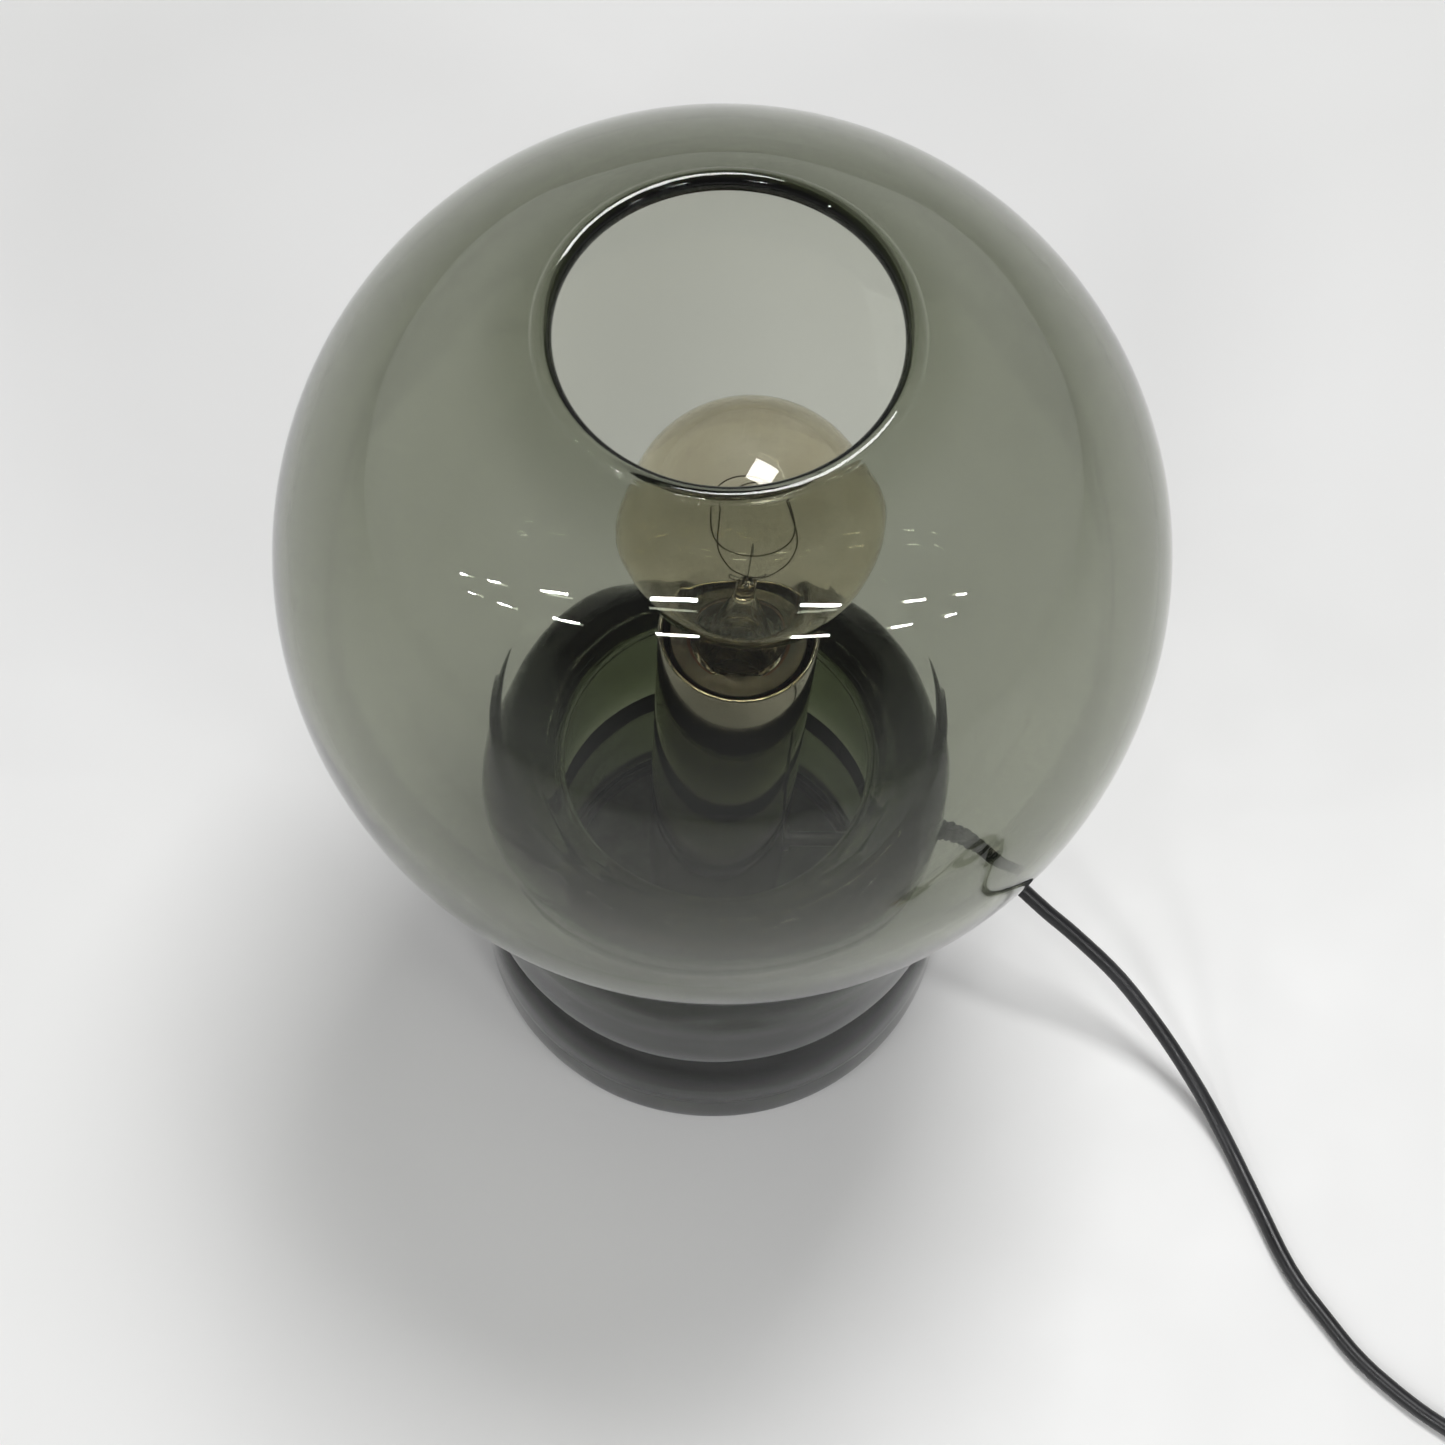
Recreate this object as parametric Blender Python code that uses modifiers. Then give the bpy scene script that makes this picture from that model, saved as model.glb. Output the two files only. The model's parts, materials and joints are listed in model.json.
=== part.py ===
"""Table lamp: an open smoked-glass globe on a thick moulded glass base, with a bulb on a chromed tube inside.

Every length below is in millimetres and is turned into metres where a mesh or curve is made.
The origin is the middle of the lamp's footprint, on the surface that it stands on, with +Z up.
Two kinds of place are used: plain world places, and places along the column, which leans a little to +X
because the soft washer under its foot is squeezed on that side.
"""
import math

import bmesh
import bpy
from mathutils import Matrix, Vector

MM = 0.001
GAP = 0.3
MERGE = 0.00001
GLASS_STEPS = 40

# Glass globe
GLOBE_RADIUS = 135.0
GLOBE_CENTRE_Z = 287.5
GLOBE_WALL = 4.5
LIP_R = 49.8
LIP_RISE_DEG = 30.0
LIP_BEND = 3.5
NECK_FOOT_R = 58.8
NECK_FOOT_Z = 139.5
NECK_SLOPE = 0.488
NECK_TOP_Z = 167.0
GLOBE_LOWEST_DEG = -54.5

# Glass base
BORE_RADIUS = 61.0
BASE_RADIUS = 89.1
BASE_TOP_Z = 145.0
CORD_HOLE_Z = 64.0
CORD_HOLE_RADIUS = 5.0

# Foot plate and column
PLATE_RADIUS = 57.5
PLATE_BOTTOM = 2.3
PLATE_TOP = 4.8
FELT_THICKNESS = 2.0
COLUMN_TILT_DEG = 1.5
TUBE_RADIUS = 26.0
TUBE_WALL = 1.5
TUBE_FOOT = 7.6
TUBE_TOP = 240.5
WASHER_RADIUS = 24.0
WASHER_TOP = 7.1
BOSS_RADIUS = 24.2
BOSS_HEIGHT = 8.0
SCREW_CIRCLE = 15.0

# Lamp holder, as heights along the column
HOLDER_RADIUS = 21.5
HOLDER_PLATE_S = 165.0
HOLDER_PLATE_THICKNESS = 2.5
NIPPLE_RADIUS = 5.0
NIPPLE_BORE = 3.6
HOLDER_CAP_S = 171.3
HOLDER_JOINT_S = 188.0
HOLDER_TOP_S = 235.0
SHELL_RADIUS = 14.3
SHELL_BORE = 13.6
TRIM_RING_S = 235.6
TRIM_RING_RADIUS = 22.2
TRIM_RING_THICKNESS = 1.5
TRIM_OPENING = 17.0
TRIM_CHORD = 14.6

# Bulb, as heights along the column
BULB_RADIUS = 37.7
BULB_CENTRE_S = 310.5
BULB_WALL = 0.8
CAP_TOP_S = 226.2
CAP_FOOT_S = 203.5
CAP_THREAD_PITCH = 3.6
CAP_THREAD_TURNS = 5
STEM_TOP_S = 284.0

# Cord
CORD_DIAMETER = 5.7
CORD_POINT_SPACING = 14.0
CORD_LYING_Z = 3.05
COIL_CENTRE = (375.7, -309.9)
COIL_MEAN_RADIUS = 32.0
COIL_ACROSS = 3
COIL_LAYERS = 2
COIL_BOTTOM = 1.4
TIE_ANGLE_DEG = 150.0
TIE_WIDTH = 6.0
TIE_THICKNESS = 0.9

# Switch on the cord
SWITCH_CENTRE = (338.0, -237.0)
SWITCH_HEADING_DEG = -32.6
SWITCH_LENGTH = 60.0
SWITCH_WIDTH = 27.0
SWITCH_BOTTOM_Z = 0.2
SWITCH_SPLIT_Z = 10.0
SWITCH_TOP_Z = 19.5
SWITCH_SCREW_REACH = 21.0
ROCKER_PIVOT_Z = 17.2
ROCKER_REST_DEG = 7.0
WINDOW_LENGTH = 16.4
WINDOW_WIDTH = 12.0
ROCKER_PIN_RADIUS = 1.0
ROCKER_PIN_REACH = 8.6

# Plug
PLUG_CENTRE = (272.0, -349.0)
PLUG_LENGTH = 36.0
PLUG_WIDTH = 35.0
PLUG_HEIGHT = 13.7
PLUG_Z = 7.15
PIN_SPACING = 18.6
PIN_RADIUS = 2.0
PIN_LENGTH = 19.0


def clear_scene():
    for thing in list(bpy.data.objects):
        bpy.data.objects.remove(thing, do_unlink=True)


def make_collection(name):
    group = bpy.data.collections.new(name)
    bpy.context.scene.collection.children.link(group)
    return group


def make_material(name, colour, roughness, metallic=0.0, transmission=0.0):
    mat = bpy.data.materials.new(name)
    mat.use_nodes = True
    shader = mat.node_tree.nodes["Principled BSDF"]
    shader.inputs["Base Color"].default_value = (*colour, 1.0)
    shader.inputs["Roughness"].default_value = roughness
    shader.inputs["Metallic"].default_value = metallic
    shader.inputs["Transmission Weight"].default_value = transmission
    return mat


# ---- building tools ---------------------------------------------------------------------------

def place(obj, mat, parent=None, location=(0, 0, 0), rotation=(0, 0, 0)):
    """Link obj to the lamp's collection, at a place in millimetres and a rotation in degrees."""
    PARTS.objects.link(obj)
    obj.data.materials.append(mat)
    obj.parent = parent
    obj.location = [value * MM for value in location]
    obj.rotation_euler = [math.radians(angle) for angle in rotation]
    return obj


def turned(name, profile, steps, mat, closed=True, **where):
    """A profile of (radius, height) points turned about Z. It runs down its outer side."""
    mesh = bpy.data.meshes.new(name)
    points = [(r * MM, 0.0, z * MM) for r, z in profile]
    edges = [(i, i + 1) for i in range(len(points) - 1)]
    if closed:
        edges.append((len(points) - 1, 0))
    mesh.from_pydata(points, edges, [])
    obj = place(bpy.data.objects.new(name, mesh), mat, **where)
    turn = obj.modifiers.new("Turn", "SCREW")
    turn.steps = steps
    turn.render_steps = steps
    turn.use_merge_vertices = True
    turn.merge_threshold = MERGE
    turn.use_smooth_shade = True
    return obj


def disc_profile(radius, bottom, top, edge=0.0):
    """A solid disc or rod, with its edges broken by edge."""
    if edge == 0.0:
        return [(0, top), (radius, top), (radius, bottom), (0, bottom)]
    return [(0, top), (radius - edge, top), (radius, top - edge),
            (radius, bottom + edge), (radius - edge, bottom), (0, bottom)]


def ring_profile(outer, inner, bottom, top):
    return [(outer, top), (outer, bottom), (inner, bottom), (inner, top)]


def hex_nut(name, bottom, top, parent):
    """A nut is a ring turned in six steps, so both its outside and its clearance are hexagons."""
    flat_to_corner = 1.0 / math.cos(math.pi / 6)
    outer = 7.0 * flat_to_corner
    inner = (NIPPLE_RADIUS + GAP) * flat_to_corner
    return turned(name, ring_profile(outer, inner, bottom, top), 6, STEEL, parent=parent)


def box(name, size, mat, bevel=0.0, **where):
    mesh = bpy.data.meshes.new(name)
    shape = bmesh.new()
    bmesh.ops.create_cube(shape, size=1.0)
    bmesh.ops.scale(shape, vec=[value * MM for value in size], verts=shape.verts)
    shape.to_mesh(mesh)
    shape.free()
    obj = place(bpy.data.objects.new(name, mesh), mat, **where)
    if bevel:
        rounding = obj.modifiers.new("Rounding", "BEVEL")
        rounding.width = bevel * MM
        rounding.segments = 2
        rounding.limit_method = "ANGLE"
    return obj


def wire(name, points, radius, mat, resolution=1, radii=None, **where):
    """A round wire or tube through points, with filled ends. radii scale it point by point."""
    data = bpy.data.curves.new(name, "CURVE")
    data.dimensions = "3D"
    data.bevel_depth = radius * MM
    data.bevel_resolution = resolution
    data.use_fill_caps = True
    spline = data.splines.new("POLY")
    spline.points.add(len(points) - 1)
    for index, point in enumerate(points):
        spline.points[index].co = (*[value * MM for value in point], 1.0)
        if radii:
            spline.points[index].radius = radii[index]
    return place(bpy.data.objects.new(name, data), mat, **where)


def flat_piece(name, outlines, thickness, mat, **where):
    """A flat sheet from closed outlines in its own XY plane. A second outline is an opening."""
    data = bpy.data.curves.new(name, "CURVE")
    data.dimensions = "2D"
    data.fill_mode = "BOTH"
    data.extrude = thickness * MM / 2
    for outline in outlines:
        spline = data.splines.new("POLY")
        spline.points.add(len(outline) - 1)
        spline.use_cyclic_u = True
        for index, (x, y) in enumerate(outline):
            spline.points[index].co = (x * MM, y * MM, 0.0, 1.0)
    return place(bpy.data.objects.new(name, data), mat, **where)


def as_mesh(obj):
    """Replace a curve object by its welded mesh, so that it can be cut."""
    name = obj.name
    mat = obj.data.materials[0]
    parent = obj.parent
    local = obj.matrix_basis.copy()
    graph = bpy.context.evaluated_depsgraph_get()
    mesh = bpy.data.meshes.new_from_object(obj.evaluated_get(graph))
    weld = bmesh.new()
    weld.from_mesh(mesh)
    bmesh.ops.remove_doubles(weld, verts=weld.verts, dist=MERGE)
    weld.to_mesh(mesh)
    weld.free()
    bpy.data.objects.remove(obj, do_unlink=True)
    solid = bpy.data.objects.new(name, mesh)
    PARTS.objects.link(solid)
    if not mesh.materials:
        mesh.materials.append(mat)
    solid.parent = parent
    solid.matrix_basis = local
    return solid


def strip(name, path, width, thickness, mat, **where):
    """A bent metal strip: a path of (x, z) points drawn out along Y and thickened."""
    mesh = bpy.data.meshes.new(name)
    half = width * MM / 2
    near = [(x * MM, -half, z * MM) for x, z in path]
    far = [(x * MM, half, z * MM) for x, z in path]
    count = len(path)
    faces = [(i, i + 1, count + i + 1, count + i) for i in range(count - 1)]
    mesh.from_pydata(near + far, [], faces)
    obj = place(bpy.data.objects.new(name, mesh), mat, **where)
    thick = obj.modifiers.new("Thickness", "SOLIDIFY")
    thick.thickness = thickness * MM
    thick.offset = 0.0
    return obj


def cutter(name, radius, length, location, rotation=(0, 0, 0), parent=None, sides=16):
    mesh = bpy.data.meshes.new(name)
    shape = bmesh.new()
    bmesh.ops.create_cone(shape, cap_ends=True, segments=sides, radius1=radius * MM,
                          radius2=radius * MM, depth=length * MM)
    shape.to_mesh(mesh)
    shape.free()
    return as_cutter(mesh, name, location, rotation, parent)


def box_cutter(name, size, location, rotation=(0, 0, 0)):
    mesh = bpy.data.meshes.new(name)
    shape = bmesh.new()
    bmesh.ops.create_cube(shape, size=1.0)
    bmesh.ops.scale(shape, vec=[value * MM for value in size], verts=shape.verts)
    shape.to_mesh(mesh)
    shape.free()
    return as_cutter(mesh, name, location, rotation, None)


def as_cutter(mesh, name, location, rotation, parent):
    obj = bpy.data.objects.new(name, mesh)
    CUTTERS.objects.link(obj)
    obj.parent = parent
    obj.location = [value * MM for value in location]
    obj.rotation_euler = [math.radians(angle) for angle in rotation]
    obj.hide_render = True
    obj.display_type = "WIRE"
    return obj


def cut(obj, tool):
    """Cut obj with tool, before any rounding of obj's edges."""
    hole = obj.modifiers.new("Cut " + tool.name, "BOOLEAN")
    hole.operation = "DIFFERENCE"
    hole.object = tool
    return hole


def arc(centre_r, centre_z, radius, start_deg, end_deg, count):
    """Points on a round stretch of a profile, its angles measured from straight out, up positive."""
    points = []
    for index in range(count):
        angle = math.radians(start_deg + (end_deg - start_deg) * index / (count - 1))
        points.append((centre_r + radius * math.cos(angle), centre_z + radius * math.sin(angle)))
    return points


def smooth_route(points, spacing):
    """Evenly spaced points on a Catmull-Rom curve through points."""
    knots = [Vector(point) for point in points]
    fine = []
    for index in range(len(knots) - 1):
        before = knots[max(index - 1, 0)]
        start = knots[index]
        end = knots[index + 1]
        after = knots[min(index + 2, len(knots) - 1)]
        for step in range(12):
            t = step / 12
            fine.append(0.5 * (2 * start + (end - before) * t
                               + (2 * before - 5 * start + 4 * end - after) * t * t
                               + (3 * start - before - 3 * end + after) * t ** 3))
    fine.append(knots[-1])
    travelled = [0.0]
    for here, there in zip(fine, fine[1:]):
        travelled.append(travelled[-1] + (there - here).length)
    count = max(2, round(travelled[-1] / spacing) + 1)
    even = []
    position = 0
    for index in range(count):
        target = travelled[-1] * index / (count - 1)
        while position < len(fine) - 2 and travelled[position + 1] < target:
            position += 1
        span = travelled[position + 1] - travelled[position]
        even.append(tuple(fine[position].lerp(fine[position + 1], (target - travelled[position]) / span)))
    return even


# ---- the glass --------------------------------------------------------------------------------

def lip_bend():
    """Where the wall's middle line leaves the sphere (degrees of elevation), and the middle of its bend."""
    middle = GLOBE_RADIUS - GLOBE_WALL / 2
    start_deg = 66.0
    for _ in range(20):
        start_r = LIP_R + LIP_BEND * (math.cos(math.radians(LIP_RISE_DEG)) - math.cos(math.radians(start_deg)))
        start_deg = math.degrees(math.acos(start_r / middle))
    start = math.radians(start_deg)
    return start_deg, (start_r + LIP_BEND * math.cos(start),
                       GLOBE_CENTRE_Z + (middle + LIP_BEND) * math.sin(start))


def globe_face(side, foot_r):
    """One face of the globe's wall, outer (1) or inner (-1): the lip that turns up, the sphere, and the neck."""
    start_deg, (bend_r, bend_z) = lip_bend()
    lip = arc(bend_r, bend_z, side * GLOBE_WALL / 2 - LIP_BEND, LIP_RISE_DEG, start_deg, 4)
    radius = GLOBE_RADIUS - GLOBE_WALL / 2 + side * GLOBE_WALL / 2
    sphere = arc(0, GLOBE_CENTRE_Z, radius, start_deg, GLOBE_LOWEST_DEG, 12)
    neck = []
    for fraction in (1.0, 0.6, 0.25, 0.0):
        z = NECK_FOOT_Z + (NECK_TOP_Z - NECK_FOOT_Z) * fraction
        neck.append((foot_r + (z - NECK_FOOT_Z) * NECK_SLOPE, z))
    return lip[:-1] + sphere + neck


def make_globe():
    outer = globe_face(1, NECK_FOOT_R)
    inner = globe_face(-1, NECK_FOOT_R - GLOBE_WALL)
    lip_z = (outer[0][1] + inner[0][1]) / 2
    rounding = arc(LIP_R, lip_z, GLOBE_WALL / 2, LIP_RISE_DEG + 180, LIP_RISE_DEG, 6)
    turned("glass_globe", outer + inner[::-1] + rounding[1:-1], GLASS_STEPS, SMOKED_GLASS)


def base_outer_wall():
    """The two rounded tiers of the base, from its top edge down to its foot."""
    upper_tier = [(61.7, 143.9), (63.2, BASE_TOP_Z), (71.6, 143.2), (81.0, 136.3), (87.0, 125.5),
                  (BASE_RADIUS, 112.0), (BASE_RADIUS, 91.7), (88.7, 74.2), (87.0, 65.4)]
    groove = [(83.0, 60.7), (81.0, 58.0), (83.0, 55.3)]
    lower_tier = [(86.4, 48.5), (88.4, 37.7), (88.7, 24.2), (88.7, 9.4), (88.0, 2.6), (85.7, 0.0)]
    return upper_tier + groove + lower_tier


def make_base():
    bore = [(BORE_RADIUS + 1.0, 0.0), (BORE_RADIUS, 1.0), (BORE_RADIUS, 142.4)]
    base = turned("glass_base", base_outer_wall() + bore, GLASS_STEPS, SMOKED_GLASS)
    middle = (BORE_RADIUS + BASE_RADIUS) / 2
    cut(base, cutter("cord_hole", CORD_HOLE_RADIUS, 50.0, (middle, 0, CORD_HOLE_Z), (0, 90, 0)))


# ---- foot and column --------------------------------------------------------------------------

def make_foot():
    turned("felt_pad", disc_profile(PLATE_RADIUS, 0.0, FELT_THICKNESS), 32, FELT, closed=False)
    gasket_outer = BORE_RADIUS - GAP
    gasket = [(gasket_outer, 6.5), (gasket_outer, 1.5), (PLATE_RADIUS + GAP, 1.5), (PLATE_RADIUS + GAP, 6.5)]
    turned("edge_gasket", gasket, 32, RUBBER)
    plate = turned("mounting_plate", disc_profile(PLATE_RADIUS - 0.1, PLATE_BOTTOM, PLATE_TOP), 32,
                   PAINTED_STEEL, closed=False)
    washer = make_foot_washer()
    boss_foot = WASHER_TOP + GAP
    boss = turned("foot_boss", disc_profile(BOSS_RADIUS, boss_foot, boss_foot + BOSS_HEIGHT, 0.8), 32,
                  STEEL, closed=False, parent=COLUMN)
    for index in range(3):
        angle = math.radians(90 + 120 * index)
        x = SCREW_CIRCLE * math.cos(angle)
        y = SCREW_CIRCLE * math.sin(angle)
        hole = cutter(f"screw_hole_{index + 1}", 2.4, 30.0, (x, y, 10.0), parent=COLUMN, sides=12)
        cut(plate, hole)
        cut(washer, hole)
        cut(boss, hole)
        shank = [(0, 14.5), (1.9, 14.5), (1.9, PLATE_BOTTOM + 0.6), (0, PLATE_BOTTOM + 0.6)]
        turned(f"plate_screw_{index + 1}", shank, 12, STEEL, closed=False, parent=COLUMN, location=(x, y, 0))


def make_foot_washer():
    """A soft disc, flat below and squeezed to the column's slope above."""
    mesh = bpy.data.meshes.new("foot_washer")
    shape = bmesh.new()
    bottom = PLATE_TOP + GAP
    height = WASHER_TOP - bottom
    bmesh.ops.create_cone(shape, cap_ends=True, segments=32, radius1=WASHER_RADIUS * MM,
                          radius2=WASHER_RADIUS * MM, depth=height * MM)
    for corner in shape.verts:
        if corner.co.z > 0:
            corner.co.z -= corner.co.x * math.tan(math.radians(COLUMN_TILT_DEG))
    shape.to_mesh(mesh)
    shape.free()
    return place(bpy.data.objects.new("foot_washer", mesh), RUBBER, location=(0, 0, bottom + height / 2))


def make_tube():
    profile = [(TUBE_RADIUS - 0.5, TUBE_TOP), (TUBE_RADIUS, TUBE_TOP - 0.5), (TUBE_RADIUS, TUBE_FOOT),
               (TUBE_RADIUS - TUBE_WALL, TUBE_FOOT), (TUBE_RADIUS - TUBE_WALL, TUBE_TOP)]
    tube = turned("chrome_tube", profile, 40, CHROME, parent=COLUMN)
    middle = TUBE_RADIUS - TUBE_WALL / 2
    lean = math.radians(COLUMN_TILT_DEG)
    hole_s = (CORD_HOLE_Z + middle * math.sin(lean)) / math.cos(lean)
    cut(tube, cutter("tube_cord_hole", 5.2, 12.0, (middle, 0, hole_s), (0, 90, 0), COLUMN))
    grommet = ring_profile(4.7, CORD_DIAMETER / 2 + GAP, 0.0, 5.0)
    turned("tube_grommet", grommet, 16, RUBBER, parent=COLUMN,
           location=(middle - 2.5, 0, hole_s), rotation=(0, 90, 0))


# ---- lamp holder ------------------------------------------------------------------------------

def make_holder_mounting():
    plate_top = HOLDER_PLATE_S + HOLDER_PLATE_THICKNESS
    inside = TUBE_RADIUS - TUBE_WALL - GAP
    turned("holder_plate", ring_profile(inside, NIPPLE_RADIUS + GAP, HOLDER_PLATE_S, plate_top), 32,
           STEEL, parent=COLUMN)
    turned("holder_nipple", ring_profile(NIPPLE_RADIUS, NIPPLE_BORE, 158.0, 178.0), 20, BRASS, parent=COLUMN)
    hex_nut("lower_nut", HOLDER_PLATE_S - GAP - 3.5, HOLDER_PLATE_S - GAP, COLUMN)
    hex_nut("upper_nut", plate_top + GAP, HOLDER_CAP_S - GAP, COLUMN)


def make_holder_shells():
    cap = [(HOLDER_RADIUS, HOLDER_JOINT_S - GAP), (HOLDER_RADIUS, 179.0), (19.0, 174.0), (12.0, HOLDER_CAP_S),
           (NIPPLE_RADIUS + GAP, HOLDER_CAP_S), (NIPPLE_RADIUS + GAP, 174.5), (16.5, 175.5), (19.1, 179.5),
           (19.1, HOLDER_JOINT_S - GAP)]
    turned("holder_cap", cap, 28, BAKELITE, parent=COLUMN)
    body = [(15.6, HOLDER_TOP_S), (20.7, HOLDER_TOP_S), (HOLDER_RADIUS, HOLDER_TOP_S - 0.8),
            (HOLDER_RADIUS, HOLDER_JOINT_S), (19.1, HOLDER_JOINT_S), (19.1, 192.6), (15.6, 195.0)]
    turned("holder_body", body, 28, BAKELITE, parent=COLUMN)
    insert = disc_profile(18.7, 184.0, 192.0, 0.6)
    turned("holder_insert", insert, 24, PORCELAIN, closed=False, parent=COLUMN)
    shell = [(SHELL_RADIUS, 229.5), (SHELL_RADIUS, 195.4), (SHELL_BORE, 195.4), (SHELL_BORE, 228.8)]
    turned("screw_shell", shell, 28, NICKEL, parent=COLUMN)


def make_holder_contacts():
    strip("centre_contact", [(-6.0, 192.8), (2.0, 192.8), (5.0, 194.6), (1.0, 197.2), (-2.5, 197.2)],
          6.0, 0.6, BRASS, parent=COLUMN)
    strip("side_contact", [(8.5, 192.8), (11.6, 192.8), (12.9, 194.0), (12.9, 199.5)],
          5.0, 0.4, BRASS, parent=COLUMN)
    for side, pole in ((-1, "live"), (1, "neutral")):
        screw = [(0, 183.7), (1.5, 183.7), (1.5, 180.6), (2.6, 180.6), (2.6, 179.0), (0, 179.0)]
        turned(f"terminal_screw_{pole}", screw, 12, BRASS, closed=False, parent=COLUMN,
               location=(9.0 * side, 0, 0))
        core = [(1.25 * side, 0, 177.3), (1.6 * side, 0, 179.2), (3.2 * side, 0, 181.1), (5.8 * side, 0, 182.0)]
        wire(f"core_{pole}", core, 0.85, CORE_COLOURS[side], parent=COLUMN)


def make_trim_ring():
    """The plate that covers the holder's top. Its opening is round with one straight side, to the front."""
    outer = [(TRIM_RING_RADIUS * math.cos(a), TRIM_RING_RADIUS * math.sin(a))
             for a in (2 * math.pi * i / 32 for i in range(32))]
    corner = math.asin(TRIM_CHORD / TRIM_OPENING)
    sweep = math.pi + 2 * corner
    opening = [(TRIM_OPENING * math.cos(a), TRIM_OPENING * math.sin(a))
               for a in (-corner + sweep * i / 24 for i in range(25))]
    flat_piece("trim_ring", [outer, opening], TRIM_RING_THICKNESS, DULL_STEEL, parent=COLUMN,
               location=(0, 0, TRIM_RING_S + TRIM_RING_THICKNESS / 2))


# ---- bulb -------------------------------------------------------------------------------------

def bulb_wall(radius, inset):
    """One face of the bulb's glass, from its crown down to the foot of its neck."""
    ball = arc(0, BULB_CENTRE_S, radius, 90, -48, 10)
    ball[0] = (0, BULB_CENTRE_S + radius)
    neck = [(20.3, 271.0), (17.6, 259.0), (16.6, 248.0), (16.2, 241.5), (14.0, 238.0), (13.1, 231.0),
            (12.3, 226.0), (12.3, 219.5)]
    return ball + [(r - inset, s) for r, s in neck]


def make_bulb():
    outer = bulb_wall(BULB_RADIUS, 0.0)
    inner = bulb_wall(BULB_RADIUS - BULB_WALL, BULB_WALL)
    turned("bulb_glass", outer + inner[::-1], 24, CLEAR_GLASS, closed=False, parent=COLUMN)
    stem = [(0, STEM_TOP_S), (2.8, STEM_TOP_S), (3.2, STEM_TOP_S - 2), (3.4, 270.0), (5.6, 260.0), (8.2, 248.0),
            (10.6, 236.0), (11.0, 230.0), (0, 230.0)]
    turned("bulb_stem", stem, 16, CLEAR_GLASS, closed=False, parent=COLUMN)
    make_bulb_cap()
    make_filament()


def make_bulb_cap():
    outer = [(13.1, CAP_TOP_S), (13.1, 223.6)]
    for turn in range(CAP_THREAD_TURNS):
        crest = 221.4 - CAP_THREAD_PITCH * turn
        outer += [(12.4, crest + CAP_THREAD_PITCH / 2), (13.2, crest)]
    outer += [(12.3, 205.2), (10.4, CAP_FOOT_S)]
    inner = [(9.6, CAP_FOOT_S + 0.4), (11.7, 206.0), (11.7, 218.4), (12.65, 218.9), (12.65, CAP_TOP_S)]
    turned("bulb_cap", outer + inner, 20, NICKEL, parent=COLUMN)
    turned("bulb_cap_insulator", [(0, 203.2), (9.2, 203.2), (5.6, 199.8), (0, 199.8)], 20, BLACK_GLASS,
           closed=False, parent=COLUMN)
    turned("bulb_centre_contact", disc_profile(4.4, 198.0, 199.5, 0.3), 16, TIN, closed=False, parent=COLUMN)


def filament_point(fraction):
    """The filament climbs from one lead in wide loops and comes down in narrower ones to the other."""
    lift = math.sin(math.pi * fraction)
    angle = math.pi + 2 * math.pi * 2.5 * fraction
    radius = 5.0 + 6.6 * min(1.0, 1.5 * lift) + 1.7 * math.cos(math.pi * fraction) * min(1.0, 2.0 * lift)
    return (radius * math.cos(angle), radius * math.sin(angle), 290.0 + 32.0 * lift)


def make_filament():
    steps = 48
    wire("filament", [filament_point(i / steps) for i in range(steps + 1)], 0.25, CARBON, parent=COLUMN)
    for side, name in ((-1, "lead_wire_left"), (1, "lead_wire_right")):
        lead = [(1.7 * side, 0, STEM_TOP_S + GAP), (1.9 * side, 0, 286.5), (4.2 * side, 0, 288.6),
                (5.0 * side, 0, 289.4)]
        wire(name, lead, 0.35, STEEL, parent=COLUMN)
    hook = [(0, 0, STEM_TOP_S + GAP), (0, 0, 300.0), (0, -1.5, 312.0), (0, -5.5, 318.5), (0, -10.6, 321.0)]
    wire("filament_anchor", hook, 0.3, STEEL, parent=COLUMN)


# ---- cord -------------------------------------------------------------------------------------

INNER_ROUTE = [(56.6, 0, 64.0), (44.0, 0, 64.0), (27.0, 0, 64.0), (18.5, 0, 65.6), (10.5, 0, 71.5),
               (5.2, 0, 82.0), (3.2, 0, 98.0), (3.3, 0, 125.0), (4.2, 0, 158.0), (4.6, 0, 176.9)]

BOOT_ROUTE = [(57.0, 0, 64.0), (59.6, 0, 64.0), (60.4, 0, 64.0), (88.5, 0, 64.0), (96.0, -1.2, 63.6),
              (103.5, -4.0, 62.6), (110.5, -8.0, 60.4)]
BOOT_RADII = [6.4, 6.4, 4.5, 4.5, 4.2, 3.7, 3.2]

RUN_TO_SWITCH = [(110.8, -8.2, 60.3), (118.0, -13.5, 57.2), (127.0, -19.3, 51.8), (138.0, -25.5, 45.0),
                 (156.0, -38.0, 34.0), (174.0, -55.0, 20.0), (189.0, -74.0, 9.5), (199.5, -92.0, 4.2),
                 (209.0, -113.0, CORD_LYING_Z), (221.0, -140.0, CORD_LYING_Z), (234.0, -159.0, CORD_LYING_Z),
                 (246.0, -174.0, CORD_LYING_Z), (262.0, -188.0, CORD_LYING_Z), (275.0, -197.0, CORD_LYING_Z),
                 (287.0, -204.5, 4.0), (300.0, -212.7, 8.0), (312.4, -220.6, 9.85)]

RUN_TO_COIL = [(363.6, -253.4, 9.85), (370.5, -258.0, 8.9), (377.0, -262.5, 6.8), (382.6, -266.5, 5.3)]

TAIL_TO_PLUG = [(352.8, -348.0, 8.6), (344.0, -349.0, 5.8), (333.0, -349.8, 3.9), (322.0, -349.9, 4.4),
                (312.6, -349.6, 6.3)]


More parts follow.
